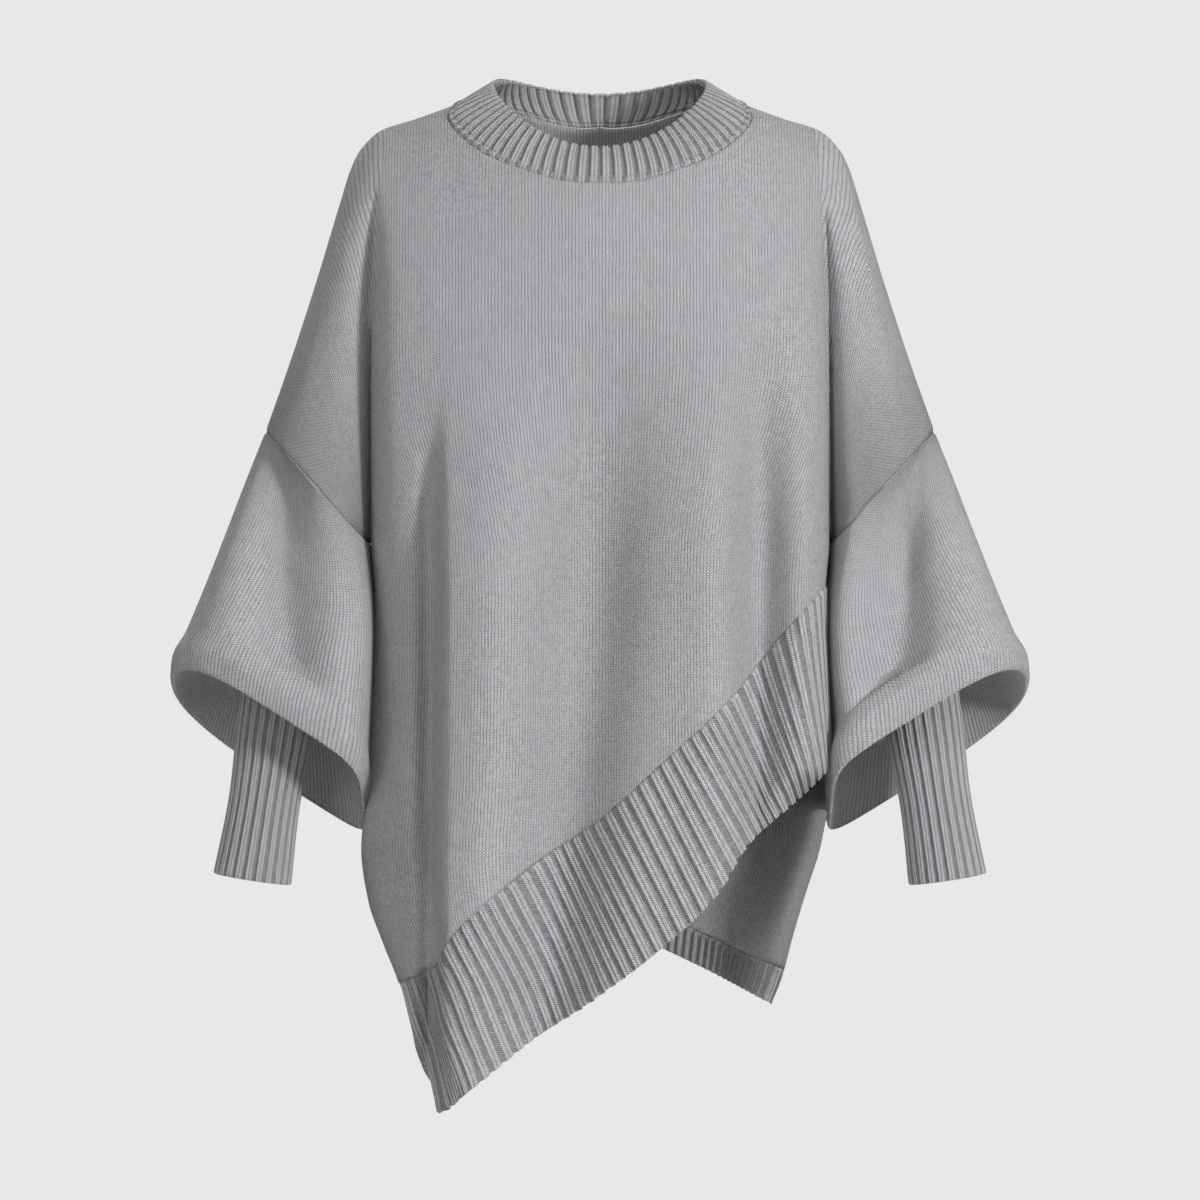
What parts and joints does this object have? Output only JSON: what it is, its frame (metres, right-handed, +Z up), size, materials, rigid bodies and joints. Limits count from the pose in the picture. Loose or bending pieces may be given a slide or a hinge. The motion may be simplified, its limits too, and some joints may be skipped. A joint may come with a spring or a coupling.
{
  "type": "knitted poncho sweater",
  "caption": "Grey knitted poncho sweater with balloon sleeves, long ribbed cuffs, a ribbed round collar and a slanting ribbed hem, open as if worn.",
  "frame": {"origin": "on the middle plane, level with the tops of the shoulders, where the garment hangs on its wearer", "axes": "+Z up, the front faces -Y, +X is the wearer's left"},
  "size_m": [0.725, 0.235, 0.8766],
  "materials": {
    "plain_knit": "matt heather grey plain knit",
    "rib_knit": "matt heather grey rib knit"
  },
  "bodies": {
    "root": {"front_panel": "plain_knit", "back_panel": "plain_knit", "front_hem_band": "rib_knit", "back_hem_band": "rib_knit", "left_sleeve": "plain_knit", "right_sleeve": "plain_knit", "left_cuff": "rib_knit", "right_cuff": "rib_knit", "collar": "rib_knit"}
  },
  "joints": []
}
